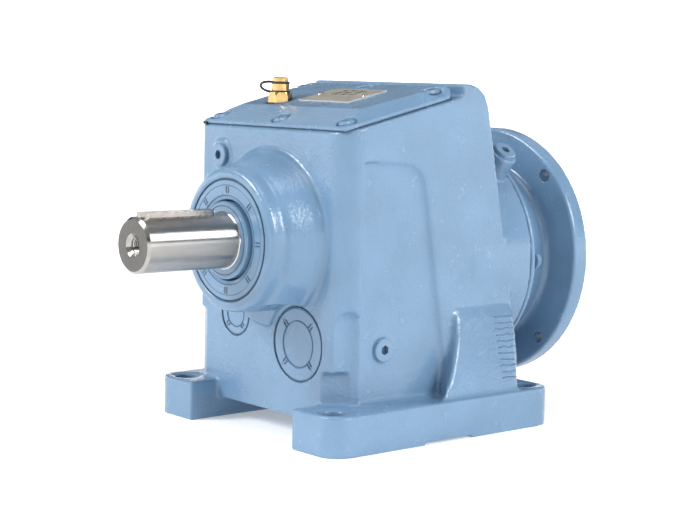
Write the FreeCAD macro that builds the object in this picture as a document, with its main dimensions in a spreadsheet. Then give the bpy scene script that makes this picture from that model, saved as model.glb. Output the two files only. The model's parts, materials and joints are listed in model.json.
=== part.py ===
import FreeCAD, Part

import math
import os

import Sketcher

# Foot-mounted inline helical gear unit, two stages, with a motor adapter flange.
# Frame: +Z up, the output shaft points along -Y, +X is the right side seen from the shaft end.
# The origin is the centre of the foot bolt pattern, on the mounting plane. Millimetres, degrees.

Vector = FreeCAD.Vector
Rotation = FreeCAD.Rotation
Placement = FreeCAD.Placement

SIZES = {
    # gear case
    "half_width": 106.5, "case_front": -108, "case_back": 119, "case_bottom": 20,
    "block_height": 330, "right_corner": 22, "left_corner": 5, "back_corner": 8, "wall": 8,
    "front_wall": 14, "floor_top": 30, "rim_height": 280, "tilt": 13, "roof": 18,
    "lip_start": 145, "lip_height": 11, "lip_round": 28, "back_lean": 12, "back_lean_height": 50,
    "open_half_width": 84, "open_start": 22, "open_end": 106,
    # feet
    "foot_half_width": 133.5, "foot_inner": 75.5, "foot_half_length": 139, "foot_height": 37,
    "foot_corner": 20, "foot_hole_x": 109, "foot_hole_y": 120, "foot_hole_radius": 11,
    "foot_spot_radius": 15, "foot_spot_depth": 1, "relief_half_length": 30, "relief_depth": 2,
    # side walls
    "panel_depth": 4.5, "panel_top": 254, "panel_front": -86, "panel_rear": 22,
    "channel_radius": 25.5, "channel_x": 118, "channel_y": -104, "channel_top": 104,
    "left_channel_radius": 18, "spot_room_radius": 32.5, "spot_room_top": 67, "pillar_x": 84, "pillar_y": -76,
    "pillar_top": 138,
    # output boss
    "output_z": 180, "boss_face": -157, "boss_radius": 65.75, "boss_root_radius": 81,
    "boss_flat": 115.5,
    # shaft positions
    "middle_x": 44, "middle_z": 87, "input_z": 155, "spare_x": -49.4, "spare_z": 104.4,
    # inner wall
    "web_front": -2, "web_back": 20, "web_top": 250,
    # rear collar and motor adapter
    "collar_radius": 108, "collar_face": 129, "collar_bore": 92, "collar_start": 50,
    "lug_angle": 52, "lug_reach": 132, "lug_radius": 14, "lug_y": 113,
    "adapter_face": 129.5, "rim_back": 137, "neck_radius": 88, "neck_bore": 80,
    "flange_front": 171.8, "flange_back": 190, "flange_radius": 125, "pilot_radius": 90,
    "pilot_depth": 6, "flange_bolt_circle": 228, "flange_hole_radius": 5.4,
    "adapter_bolt_circle": 200, "hub_radius": 47.5,
    # output shaft
    "shaft_tip": -257, "shaft_radius": 25, "shaft_chamfer": 2.4, "collar_front": -160.5,
    "seal_seat_radius": 35, "key_width": 14, "key_height": 9, "key_depth": 5.5,
    "key_start": -252, "key_end": -172, "centre_thread_radius": 6.9, "centre_thread_depth": 36,
    "countersink_radius": 10.5,
    # oil seals
    "seal_radius": 55, "seal_width": 12, "lip_gap": 0.1,
    # gears
    "middle_module": 3, "middle_pinion_teeth": 16, "output_teeth": 51, "output_gear_face": 46,
    "output_gear_y": -38, "input_module": 2, "input_pinion_teeth": 29, "middle_teeth": 49,
    "input_gear_face": 30, "input_gear_y": 39, "tooth_thinning": 0.18,
    # top cover
    "cover_half_width": 103.5, "cover_edge": 4.5, "cover_height": 12.5, "cover_start": 1,
    "cover_end": 140, "flat_front_half_width": 86, "flat_rear_half_width": 97,
    "flat_start": 36, "flat_end": 132, "cover_hollow": 2,
    "cover_corner": 16, "gasket_thickness": 1, "gasket_inset": 1.2, "bolt_x": 92,
    "bolt_front_seat": 4, "bolt_rear_seat": 8.5,
    "bolt_front": 13, "bolt_rear": 118, "bolt_radius": 4, "bolt_pocket_radius": 9.5,
    # fittings
    "plug_radius": 7, "plug_collar": 10.8, "plug_collar_height": 3, "plug_hexagon": 8,
    "plug_boss_radius": 14, "front_plug_x": -73, "front_plug_z": 252.5,
    "side_plug_y": -58, "side_plug_z": 85.7,
    "neck_post": 8.3, "breather_x": -50, "breather_y": -58, "breather_seat": 299.5,
    "large_cap_radius": 34, "small_cap_radius": 21, "cap_width": 8,
    "running_gap": 0.02, "ball_gap": 0.15,
    # name plate
    "plate_x": 9, "plate_half_width": 36, "plate_start": 58, "plate_length": 48, "rivet_x": 32,
}

doc = FreeCAD.newDocument("gear_unit")


def make_sheet():
    """The driving dimensions, one row each: name, value with an alias."""
    sheet = doc.addObject("Spreadsheet::Sheet", "dim")
    for row, (name, value) in enumerate(SIZES.items(), start=1):
        sheet.set(f"A{row}", name)
        sheet.set(f"B{row}", str(value))
        sheet.setAlias(f"B{row}", name)
    doc.recompute()
    return sheet


dim = make_sheet()
parts = []


# ---------------------------------------------------------------- general helpers


def new_body(label, x="0", y="0", z="0"):
    """An empty body whose place is bound to the sheet."""
    body = doc.addObject("PartDesign::Body", label)
    body.Label = label
    for axis, size in zip("xyz", (x, y, z)):
        body.setExpression(f"Placement.Base.{axis}", size)
    parts.append(body)
    return body


def tilted_body(label):
    """A body whose XY plane is the sloping top rim of the case, with Y up the slope."""
    body = new_body(label, "0", "dim.case_front", "dim.rim_height")
    tilt(body, "Placement")
    return body


def tilt(thing, name):
    """Turn a placement about X by the slope of the rim."""
    value = getattr(thing, name)
    value.Rotation = Rotation(Vector(1, 0, 0), dim.tilt)
    setattr(thing, name, value)


def add_sketch(body, role, x="0", y="0", z="0", tilted=False):
    """A sketch on one of the body's origin planes, moved by x, y and z in the plane's own axes."""
    sketch = body.newObject("Sketcher::SketchObject", "Sketch")
    plane = next(o for o in body.Origin.OriginFeatures if o.Role == role)
    sketch.AttachmentSupport = [(plane, "")]
    sketch.MapMode = "FlatFace"
    if tilted:
        tilt(sketch, "AttachmentOffset")
    for axis, size in zip("xyz", (x, y, z)):
        sketch.setExpression(f"AttachmentOffset.Base.{axis}", size)
    return sketch


def bind(sketch, kind, where, size):
    """One dimensional constraint that follows an expression."""
    number = sketch.addConstraint(Sketcher.Constraint(kind, *where, 1.0))
    sketch.setExpression(f"Constraints[{number}]", size)


def polygon(sketch, corners):
    """A closed outline through corners, each a pair of expressions."""
    first, count = sketch.GeometryCount, len(corners)
    ring = [Vector(math.cos(i * math.tau / count), math.sin(i * math.tau / count), 0)
            for i in range(count + 1)]
    for i in range(count):
        sketch.addGeometry(Part.LineSegment(ring[i], ring[i + 1]), False)
    for i, (x, y) in enumerate(corners):
        sketch.addConstraint(
            Sketcher.Constraint("Coincident", first + i, 2, first + (i + 1) % count, 1))
        bind(sketch, "DistanceX", (-1, 1, first + i, 1), x)
        bind(sketch, "DistanceY", (-1, 1, first + i, 1), y)


def rectangle(sketch, left, right, low, high):
    polygon(sketch, [(left, low), (right, low), (right, high), (left, high)])


def circle(sketch, x, y, radius):
    """A circle whose centre and radius are expressions."""
    geometry = sketch.addGeometry(Part.Circle(Vector(0, 0, 0), Vector(0, 0, 1), 1), False)
    bind(sketch, "DistanceX", (-1, 1, geometry, 3), x)
    bind(sketch, "DistanceY", (-1, 1, geometry, 3), y)
    bind(sketch, "Radius", (geometry,), radius)


def extrude(body, kind, sketch, length, reverse=False, both_ways=False):
    """A Pad or Pocket of a sketch. A Pocket has to take something away."""
    doc.recompute()
    before = body.Shape.Volume if kind == "Pocket" else 0
    feature = body.newObject(f"PartDesign::{kind}", kind)
    feature.Profile = sketch
    feature.setExpression("Length", length)
    feature.Reversed = reverse
    feature.Midplane = both_ways
    doc.recompute()
    if kind == "Pocket" and not feature.Shape.Volume < before - 1e-6:
        raise RuntimeError(f"a pocket of {body.Label} removes nothing")
    return feature


def pad(body, sketch, length, **options):
    return extrude(body, "Pad", sketch, length, **options)


def pocket(body, sketch, length, **options):
    return extrude(body, "Pocket", sketch, length, **options)


def turn(body, kind, corners, x="0", z="0"):
    """A Revolution or Groove about an axis along Y. Corners are (along Y, radius) pairs."""
    doc.recompute()
    before = body.Shape.Volume if kind == "Groove" else 0
    sketch = add_sketch(body, "YZ_Plane", "0", z, x)
    polygon(sketch, corners)
    feature = body.newObject(f"PartDesign::{kind}", kind)
    feature.Profile = sketch
    feature.ReferenceAxis = (sketch, ["H_Axis"])
    feature.Angle = 360
    doc.recompute()
    if kind == "Groove" and not feature.Shape.Volume < before - 1e-6:
        raise RuntimeError(f"a groove of {body.Label} removes nothing")
    return feature


def bore(body, start, end, radius, x="0", z="0"):
    """A round hole along Y."""
    turn(body, "Groove", [(start, "0"), (end, "0"), (end, radius), (start, radius)], x, z)


def turned_part(label, corners, x="0", z="0"):
    """A turned piece on an axis along Y through x, z."""
    body = new_body(label, x, "0", z)
    turn(body, "Revolution", corners)
    return body


def ring_part(label, start, end, inner, outer, x="0", z="0"):
    """A plain ring on an axis along Y."""
    return turned_part(
        label, [(start, inner), (end, inner), (end, outer), (start, outer)], x, z)


def fillet(body, radius, wanted):
    """Round the edges of the body whose middle point passes the test."""
    doc.recompute()
    base = body.Tip
    names = [f"Edge{i}" for i, edge in enumerate(base.Shape.Edges, start=1)
             if wanted(edge.valueAt((edge.FirstParameter + edge.LastParameter) / 2), edge)]
    if not names:
        raise RuntimeError(f"no edge to round on {body.Label}")
    feature = body.newObject("PartDesign::Fillet", "Fillet")
    feature.Base = (base, names)
    feature.setExpression("Radius", radius)
    doc.recompute()
    if "Invalid" in feature.State:
        raise RuntimeError(f"a fillet of {body.Label} fails")
    return feature


def is_upright(edge):
    """Is the edge a straight line along Z?"""
    return edge.Curve.TypeId == "Part::GeomLine" and abs(edge.Curve.Direction.z) > 0.999


def solid_part(label, shape, place=None):
    """A piece whose shape is set directly, for forms that sketches can't give."""
    feature = doc.addObject("Part::Feature", label)
    feature.Label = label
    feature.Shape = shape
    if place:
        feature.Placement = place
    parts.append(feature)
    return feature


def along_y(x, z):
    """The place of a shape made about +Z, so that it lies about -Y through x, z."""
    return Placement(Vector(x, 0, z), Rotation(Vector(1, 0, 0), 90))


# ---------------------------------------------------------------- gear case


def case_block(body):
    """The outer block: a rounded box whose top slopes up to the rear and whose back leans."""
    sketch = add_sketch(body, "XY_Plane", z="dim.case_bottom")
    rectangle(sketch, "-dim.half_width", "dim.half_width", "dim.case_front", "dim.case_back")
    pad(body, sketch, "dim.block_height")
    cut_top(body)
    cut_back(body)
    top = body.Shape.BoundBox.ZMax
    fillet(body, "dim.lip_round",
           lambda p, e: abs(e.tangentAt(e.FirstParameter).x) > 0.999 and p.z > top - 1)
    side = dim.half_width - 0.1
    for sign, radius in ((1, "dim.right_corner"), (-1, "dim.left_corner")):
        fillet(body, radius,
               lambda p, e: is_upright(e) and sign * p.x > side and p.y < dim.case_front + 1)
    fillet(body, "dim.back_corner",
           lambda p, e: is_upright(e) and abs(p.x) > side and p.y > dim.case_back - 1)


def cut_top(body):
    """Cut the block down to the sloping rim, with a lip left standing behind the cover."""
    sketch = add_sketch(body, "YZ_Plane")
    slope, lip = "tan(dim.tilt)", "dim.lip_start"
    foot_y = f"dim.case_front + {lip} * cos(dim.tilt)"
    foot_z = f"dim.rim_height + {lip} * sin(dim.tilt)"
    lip_y = f"{foot_y} - dim.lip_height * sin(dim.tilt)"
    lip_z = f"{foot_z} + dim.lip_height * cos(dim.tilt)"
    polygon(sketch, [
        ("dim.case_front - 20", f"dim.rim_height - 20 * {slope}"), (foot_y, foot_z),
        (lip_y, lip_z), (f"{lip_y} + 120", f"{lip_z} + 120 * {slope}"),
        (f"{lip_y} + 120", "dim.block_height + 60"),
        ("dim.case_front - 20", "dim.block_height + 60")])
    pocket(body, sketch, "2 * dim.half_width + 10", both_ways=True)


def cut_back(body):
    """Lean the back wall forward above its foot."""
    sketch = add_sketch(body, "YZ_Plane")
    high = "dim.block_height + 60"
    high_y = f"dim.case_back - ({high} - dim.back_lean_height) * tan(dim.back_lean)"
    polygon(sketch, [
        ("dim.case_back", "dim.back_lean_height"), ("dim.case_back + 20", "dim.back_lean_height"),
        ("dim.case_back + 20", high), (high_y, high)])
    pocket(body, sketch, "2 * dim.half_width + 10", both_ways=True)


def case_feet(body):
    """Two foot bars along the sides, with rounded corners."""
    sketch = add_sketch(body, "XY_Plane")
    for inner, outer in (("-dim.foot_half_width", "-dim.foot_inner"),
                         ("dim.foot_inner", "dim.foot_half_width")):
        rectangle(sketch, inner, outer, "-dim.foot_half_length", "dim.foot_half_length")
    pad(body, sketch, "dim.foot_height")
    fillet(body, "dim.foot_corner",
           lambda p, e: is_upright(e) and abs(abs(p.x) - dim.foot_half_width) < 0.1)


# Plan outlines of the right-hand buttress from the foot up: height, then front inner, front outer,
# rear outer and rear inner corner.
BUTTRESS = [
    (14, (95, 21), (133.4, -8), (133.4, 88), (95, 112)),
    (37, (95, 20), (128, -4), (130, 92), (95, 112)),
    (60, (95, 18), (123, 11), (124.5, 95), (95, 111)),
    (86, (95, 19), (117, 22.5), (117.5, 99), (95, 107)),
    (108, (95, 26), (112, 25.5), (112, 101), (95, 103)),
    (118, (95, 32), (106, 30), (106, 99), (95, 101)),
]


def case_buttresses(body):
    """Thick sloping walls at the rear of both sides, which run down into the feet."""
    for side in (-1, 1):
        sections = []
        for height, *corners in BUTTRESS:
            sketch = add_sketch(body, "XY_Plane", z=str(height))
            polygon(sketch, [(f"{side} * {x}", str(y)) for x, y in corners])
            sections.append(sketch)
        loft = body.newObject("PartDesign::AdditiveLoft", "Buttress")
        loft.Profile = sections[0]
        loft.Sections = sections[1:]
        loft.Ruled = True
        doc.recompute()


def case_output_boss(body):
    """The stepped boss that carries the output seal and front bearing."""
    turn(body, "Revolution", [
        ("dim.case_front + 4", "0"), ("dim.boss_face", "0"),
        ("dim.boss_face", "dim.boss_radius - 5"), ("dim.boss_face + 1.5", "dim.boss_radius - 1.5"),
        ("dim.boss_face + 5", "dim.boss_radius"), ("dim.boss_face + 15", "dim.boss_radius + 0.5"),
        ("dim.boss_face + 19", "dim.boss_radius + 4"),
        ("dim.case_front - 7", "dim.boss_root_radius - 3"),
        ("dim.case_front - 5", "dim.boss_root_radius - 0.5"),
        ("dim.case_front - 2", "dim.boss_root_radius"),
        ("dim.case_front + 4", "dim.boss_root_radius + 3")], "0", "dim.output_z")
    under = add_sketch(body, "YZ_Plane")
    rectangle(under, "dim.boss_face - 1", "dim.case_front - 5", "90", "dim.boss_flat")
    pocket(body, under, "2 * dim.boss_root_radius", both_ways=True)


def case_rear_collar(body):
    """The round collar that carries the motor adapter, and the lug of its plug."""
    turn(body, "Revolution", [
        ("dim.collar_start", "0"), ("dim.collar_face", "0"),
        ("dim.collar_face", "dim.collar_radius"), ("dim.collar_start", "dim.collar_radius")],
        "0", "dim.input_z")
    lug = body.newObject("PartDesign::AdditiveCylinder", "Lug")
    lug.setExpression("Radius", "dim.lug_radius")
    lug.setExpression("Height", "40")
    along = Vector(math.cos(math.radians(dim.lug_angle)), 0, math.sin(math.radians(dim.lug_angle)))
    start = Vector(0, dim.lug_y, dim.input_z) + along * (dim.lug_reach - 40)
    lug.Placement = Placement(start, Rotation(Vector(0, 0, 1), along))
    doc.recompute()


def case_plug_bosses(body):
    """Low round bosses under the oil plugs of the front wall and both sides."""
    front = add_sketch(body, "XZ_Plane", z="-dim.case_front - 4")
    circle(front, "dim.front_plug_x", "dim.front_plug_z", "dim.plug_boss_radius")
    pad(body, front, "5.5")
    sides = add_sketch(body, "YZ_Plane")
    circle(sides, "dim.side_plug_y", "dim.side_plug_z", "dim.plug_boss_radius")
    pad(body, sides, "2 * (dim.half_width - dim.panel_depth + 1)", both_ways=True)


def case_side_panels(body):
    """A shallow field in each side wall, open to the front corner."""
    for side in (-1, 1):
        sketch = add_sketch(body, "YZ_Plane", z=f"{side} * dim.half_width")
        polygon(sketch, [
            ("dim.panel_front", "dim.foot_height + 1"), ("dim.panel_rear", "dim.foot_height + 1"),
            ("-12", "dim.panel_top - 24"), ("-17", "dim.panel_top - 11"),
            ("-30", "dim.panel_top - 3"), ("-74", "dim.panel_top"),
            ("dim.panel_front", "dim.panel_top")])
        pocket(body, sketch, "dim.panel_depth", reverse=side < 0)


def cut_round(body, kind, radius, x, y, z, height=None):
    """Cut an upright cylinder or a sphere out of the body."""
    cutter = body.newObject(f"PartDesign::Subtractive{kind}", "Cut")
    cutter.setExpression("Radius", radius)
    if height:
        cutter.setExpression("Height", height)
    cutter.Placement = Placement(Vector(x, y, z), Rotation())
    doc.recompute()


def case_bolt_channels(body):
    """Wrench room over the front foot bolts.

    On the right a wide round step and a tall domed channel, with a pillar inside the case that
    keeps the wall whole behind them. On the left a narrow channel about the bolt.
    """
    pillar = add_sketch(body, "XY_Plane", z="dim.floor_top - 1")
    rectangle(pillar, "dim.pillar_x", "dim.half_width - dim.wall + 1",
              "dim.case_front + dim.front_wall - 1", "dim.pillar_y")
    pad(body, pillar, "dim.pillar_top - dim.floor_top")
    foot, channel = dim.foot_height, "dim.channel_top - dim.foot_height"
    cut_round(body, "Cylinder", "dim.spot_room_radius", dim.foot_hole_x, -dim.foot_hole_y, foot,
              "dim.spot_room_top - dim.foot_height")
    cut_round(body, "Cylinder", "dim.channel_radius", dim.channel_x, dim.channel_y, foot, channel)
    cut_round(body, "Sphere", "dim.channel_radius", dim.channel_x, dim.channel_y, dim.channel_top)
    cut_round(body, "Cylinder", "dim.left_channel_radius", -dim.foot_hole_x, -dim.foot_hole_y,
              foot, channel)


def case_cavity(body):
    """The gear room, its top opening and its round rear opening."""
    sketch = add_sketch(body, "YZ_Plane")
    inner_back = "dim.case_back - dim.wall"
    roof_z = "dim.rim_height - dim.roof / cos(dim.tilt)"
    lean_top = "dim.rim_height - 10"
    polygon(sketch, [
        ("dim.case_front + dim.front_wall", "dim.floor_top"), (inner_back, "dim.floor_top"),
        (inner_back, "dim.back_lean_height"),
        (f"{inner_back} - ({lean_top} - dim.back_lean_height) * tan(dim.back_lean)", lean_top),
        ("30", f"{roof_z} + (30 - dim.case_front) * tan(dim.tilt)"),
        ("dim.case_front + dim.front_wall", f"{roof_z} + dim.front_wall * tan(dim.tilt)")])
    pocket(body, sketch, "2 * (dim.half_width - dim.wall)", both_ways=True)
    top = add_sketch(body, "XY_Plane", y="dim.case_front", z="dim.rim_height", tilted=True)
    rectangle(top, "-dim.open_half_width", "dim.open_half_width", "dim.open_start", "dim.open_end")
    pocket(body, top, "dim.roof + 6")
    bore(body, "60", "dim.collar_face + 1", "dim.collar_bore", "0", "dim.input_z")


def case_inner_wall(body):
    """The inner wall that holds the rear bearings, and the boss of the middle front bearing."""
    sketch = add_sketch(body, "XZ_Plane", z="-dim.web_back")
    rectangle(sketch, "-dim.half_width + dim.wall - 1", "dim.half_width - dim.wall + 1",
              "dim.floor_top - 1", "dim.web_top")
    pad(body, sketch, "dim.web_back - dim.web_front")
    turn(body, "Revolution", [("-96", "0"), ("-82", "0"), ("-82", "43"), ("-96", "43")],
         "dim.middle_x", "dim.middle_z")


def case_bores(body):
    """Bearing seats, seal seat, circlip groove and cap seats."""
    bore(body, "dim.boss_face - 1", "-117", "dim.seal_radius", "0", "dim.output_z")
    bore(body, "-118", "-90", "50", "0", "dim.output_z")
    turn(body, "Groove", [("-144", "54"), ("-140.8", "54"), ("-140.8", "57"), ("-144", "57")],
         "0", "dim.output_z")
    bore(body, "dim.web_front - 1", "18", "45", "0", "dim.output_z")
    bore(body, "17", "dim.web_back + 1", "40", "0", "dim.output_z")
    bore(body, "dim.case_front - 1", "-81", "dim.large_cap_radius", "dim.middle_x", "dim.middle_z")
    bore(body, "dim.web_front - 1", "15", "dim.large_cap_radius", "dim.middle_x", "dim.middle_z")
    bore(body, "14", "dim.web_back + 1", "30", "dim.middle_x", "dim.middle_z")
    bore(body, "dim.case_front - 1", "-93", "dim.small_cap_radius", "dim.spare_x", "dim.spare_z")
    for x, z, radius in (("dim.middle_x", "dim.middle_z", "dim.large_cap_radius + 4"),
                         ("dim.spare_x", "dim.spare_z", "dim.small_cap_radius + 4")):
        bore(body, "dim.boss_face - 1", "dim.case_front", radius, x, z)


def case_holes(body):
    """Foot bolt holes, plug threads, cover bolt threads and adapter screw threads."""
    signs = [(i, j) for i in (-1, 1) for j in (-1, 1)]
    feet = add_sketch(body, "XY_Plane", z="dim.foot_height + 1")
    spots = add_sketch(body, "XY_Plane", z="dim.foot_height + 1")
    for i, j in signs:
        for sketch, radius in ((feet, "dim.foot_hole_radius"), (spots, "dim.foot_spot_radius")):
            circle(sketch, f"{i} * dim.foot_hole_x", f"{j} * dim.foot_hole_y", radius)
    pocket(body, feet, "dim.foot_height + 2")
    pocket(body, spots, "dim.foot_spot_depth + 1")
    relief = add_sketch(body, "YZ_Plane")
    rectangle(relief, "-dim.relief_half_length", "dim.relief_half_length", "-1", "dim.relief_depth")
    pocket(body, relief, "2 * dim.foot_half_width + 2", both_ways=True)
    front = add_sketch(body, "XZ_Plane", z="-dim.case_front + 10")
    circle(front, "dim.front_plug_x", "dim.front_plug_z", "dim.plug_radius")
    pocket(body, front, "dim.front_wall + 12")
    sides = add_sketch(body, "YZ_Plane")
    circle(sides, "dim.side_plug_y", "dim.side_plug_z", "dim.plug_radius")
    pocket(body, sides, "2 * dim.half_width + 8", both_ways=True)
    lug = body.newObject("PartDesign::SubtractiveCylinder", "LugHole")
    lug.setExpression("Radius", "dim.plug_radius")
    lug.setExpression("Height", "dim.lug_reach - dim.collar_bore + 8")
    along = Vector(math.cos(math.radians(dim.lug_angle)), 0, math.sin(math.radians(dim.lug_angle)))
    start = Vector(0, dim.lug_y, dim.input_z) + along * (dim.collar_bore - 4)
    lug.Placement = Placement(start, Rotation(Vector(0, 0, 1), along))
    doc.recompute()
    cover = add_sketch(body, "XY_Plane", y="dim.case_front", z="dim.rim_height", tilted=True)
    for places in cover_bolt_places().values():
        for x, y in places:
            circle(cover, x, y, "dim.bolt_radius")
    pocket(body, cover, "16")
    rear = add_sketch(body, "XZ_Plane", y="dim.input_z", z="-dim.collar_face - 1")
    for i in range(6):
        circle(rear, f"dim.adapter_bolt_circle / 2 * cos({60 * i})",
               f"dim.adapter_bolt_circle / 2 * sin({60 * i})", "dim.bolt_radius")
    pocket(body, rear, "18", reverse=True)


def make_housing():
    body = new_body("housing")
    case_block(body)
    case_feet(body)
    case_side_panels(body)
    case_buttresses(body)
    case_output_boss(body)
    case_rear_collar(body)
    case_plug_bosses(body)
    case_cavity(body)
    case_bolt_channels(body)
    case_inner_wall(body)
    case_bores(body)
    case_holes(body)


# ---------------------------------------------------------------- top cover


def cover_bolt_places():
    """The six bolt centres in the plane of the rim, by row: (x, distance up the slope)."""
    return {row: [(f"{i} * dim.bolt_x", f"dim.bolt_{row}") for i in (-1, 0, 1)]
            for row in ("front", "rear")}


def make_top_cover():
    """A cast lid: a thin edge, bevelled sides, a raised flat and pockets for the bolt heads."""
    body = tilted_body("top_cover")
    base = add_sketch(body, "XY_Plane", z="dim.gasket_thickness")
    rectangle(base, "-dim.cover_half_width", "dim.cover_half_width",
              "dim.cover_start", "dim.cover_end")
    pad(body, base, "dim.cover_edge - dim.gasket_thickness")
    low = add_sketch(body, "XY_Plane", z="dim.cover_edge")
    rectangle(low, "-dim.cover_half_width", "dim.cover_half_width",
              "dim.cover_start", "dim.cover_end")
    high = add_sketch(body, "XY_Plane", z="dim.cover_height")
    polygon(high, [("-dim.flat_front_half_width", "dim.flat_start"),
                   ("dim.flat_front_half_width", "dim.flat_start"),
                   ("dim.flat_rear_half_width", "dim.flat_end"),
                   ("-dim.flat_rear_half_width", "dim.flat_end")])
    loft = body.newObject("PartDesign::AdditiveLoft", "Bevel")
    loft.Profile = low
    loft.Sections = [high]
    loft.Ruled = True
    doc.recompute()
    trim_cover_corners(body)
    hollow = add_sketch(body, "XY_Plane", z="dim.gasket_thickness")
    rectangle(hollow, "-dim.open_half_width + 4", "dim.open_half_width - 4",
              "dim.open_start + 4", "dim.open_end - 4")
    pocket(body, hollow, "dim.cover_hollow", reverse=True)
    for row, places in cover_bolt_places().items():
        for radius, low in (("dim.bolt_pocket_radius", f"dim.bolt_{row}_seat"),
                            ("dim.bolt_radius + 0.5", "0")):
            round_cuts = add_sketch(body, "XY_Plane", z="dim.cover_height + 1")
            for x, y in places:
                circle(round_cuts, x, y, radius)
            pocket(body, round_cuts, f"dim.cover_height + 1 - {low}")
    cut_breather_seat(body)


def trim_cover_corners(body):
    """Round the rear corners of the lid or its gasket in plan."""
    sketch = add_sketch(body, "XY_Plane", z="dim.cover_height + 1")
    corner, end = "dim.cover_corner", "dim.cover_end"
    for side in (-1, 1):
        edge, inner = f"{side} * dim.cover_half_width", f"{side} * (dim.cover_half_width - {corner})"
        arc = [(f"{inner} + {side} * {corner} * cos({turn_by})",
                f"{end} - {corner} + {corner} * sin({turn_by})") for turn_by in range(0, 91, 15)]
        outside = f"{side} * (dim.cover_half_width + 3)"
        polygon(sketch, arc + [(inner, f"{end} + 3"), (outside, f"{end} + 3"),
                               (outside, f"{end} - {corner}")])
    pocket(body, sketch, "dim.cover_height + 1")


def cut_breather_seat(body):
    """A level seat with an upright threaded hole for the breather."""
    unit = body.Placement.inverse()
    turn_back = Rotation(Vector(1, 0, 0), -dim.tilt)
    for radius, low, height in ((14, dim.breather_seat, 20), (7, dim.breather_seat - 20, 30)):
        cutter = body.newObject("PartDesign::SubtractiveCylinder", "Seat")
        cutter.Radius = radius
        cutter.Height = height
        place = unit.multVec(Vector(dim.breather_x, dim.breather_y, low))
        cutter.Placement = Placement(place, turn_back)
        doc.recompute()


def make_cover_gasket():
    body = tilted_body("cover_gasket")
    sketch = add_sketch(body, "XY_Plane")
    side, inset = "dim.cover_half_width - dim.gasket_inset", "dim.gasket_inset"
    rectangle(sketch, f"-({side})", side,
              f"dim.cover_start + {inset}", f"dim.cover_end - {inset}")
    rectangle(sketch, "-dim.open_half_width", "dim.open_half_width",
              "dim.open_start", "dim.open_end")
    for places in cover_bolt_places().values():
        for x, y in places:
            circle(sketch, x, y, "dim.bolt_radius + 0.5")
    pad(body, sketch, "dim.gasket_thickness")
    trim_cover_corners(body)


def hexagon(across, height):
    """A hexagonal prism about +Z from z = 0, with its width across flats."""
    points = [Vector(across / math.sqrt(3) * math.cos(i * math.pi / 3),
                     across / math.sqrt(3) * math.sin(i * math.pi / 3), 0) for i in range(7)]
    return Part.Face(Part.makePolygon(points)).extrude(Vector(0, 0, height))


def chamfered_hexagon(across, height):
    """A hexagonal prism whose upper corners are turned off to a cone."""
    corner = across / math.sqrt(3)
    cone = Part.makeCone(corner + 0.2 * height, corner - 0.1 * height, height)
    return hexagon(across, height).common(cone)


def flange_bolt(length):
    """A hexagon flange bolt about +Z: head above z = 0, plain shank below."""
    head = Part.makeCone(8.8, 7.4, 1.6).fuse(chamfered_hexagon(13, 7.5))
    return head.fuse(Part.makeCylinder(dim.bolt_radius - 0.1, length, Vector(0, 0, -length)))


def button_screw(length):
    """A low round-headed socket screw about +Z: head above z = 0, plain shank below."""
    head = Part.makeCylinder(7.6, 1.6).fuse(Part.makeCone(7.6, 5.4, 2.2, Vector(0, 0, 1.6)))
    socket = hexagon(5, 4)
    socket.translate(Vector(0, 0, 1.5))
    shank = Part.makeCylinder(dim.bolt_radius - 0.1, length, Vector(0, 0, -length))
    return head.cut(socket).fuse(shank)


def make_cover_bolts():
    rim = Placement(Vector(0, dim.case_front, dim.rim_height), Rotation(Vector(1, 0, 0), dim.tilt))
    bolts = []
    for i in (-1, 0, 1):
        for row, seat in ((dim.bolt_front, dim.bolt_front_seat), (dim.bolt_rear, dim.bolt_rear_seat)):
            bolt = button_screw(seat + 13)
            bolt.Placement = Placement(Vector(i * dim.bolt_x, row, seat + 0.02), Rotation())
            bolts.append(bolt)
    solid_part("cover_bolts", Part.makeCompound(bolts), rim)


# ---------------------------------------------------------------- plugs, breather, plate


def socket_plug():
    """A hexagon socket plug about +Z with its collar standing on z = 0."""
    collar = Part.makeCylinder(dim.plug_collar, dim.plug_collar_height)
    edge = [e for e in collar.Edges if abs(e.BoundBox.ZMin - dim.plug_collar_height) < 1e-6
            and e.Curve.TypeId == "Part::GeomCircle"]
    collar = collar.makeChamfer(0.8, edge)
    thread = Part.makeCylinder(dim.plug_radius - 0.05, 10, Vector(0, 0, -10))
    socket = hexagon(dim.plug_hexagon, 8)
    socket.translate(Vector(0, 0, dim.plug_collar_height - 6))
    return collar.fuse(thread).cut(socket)


def sealing_ring():
    return Part.makeCylinder(dim.plug_collar + 0.6, 1).cut(
        Part.makeCylinder(dim.plug_radius + 0.1, 1))


def make_plugs():
    """The oil plugs, each on a thin sealing ring."""
    side_face = dim.half_width - dim.panel_depth + 1
    lug = math.radians(dim.lug_angle)
    outward = Vector(math.cos(lug), 0, math.sin(lug))
    places = {
        "oil_fill_plug": (Vector(dim.front_plug_x, dim.case_front - 1.5, dim.front_plug_z),
                          Vector(0, -1, 0)),
        "oil_level_plug": (Vector(side_face, dim.side_plug_y, dim.side_plug_z), Vector(1, 0, 0)),
        "oil_drain_plug": (Vector(-side_face, dim.side_plug_y, dim.side_plug_z), Vector(-1, 0, 0)),
        "rear_vent_plug": (Vector(0, dim.lug_y, dim.input_z) + outward * dim.lug_reach, outward),
    }
    rings = []
    for label, (foot, axis) in places.items():
        turned = Rotation(Vector(0, 0, 1), axis)
        solid_part(label, socket_plug(), Placement(foot + axis * 1.02, turned))
        ring = sealing_ring()
        ring.Placement = Placement(foot, turned)
        rings.append(ring)
    solid_part("plug_sealing_rings", Part.makeCompound(rings))


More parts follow.
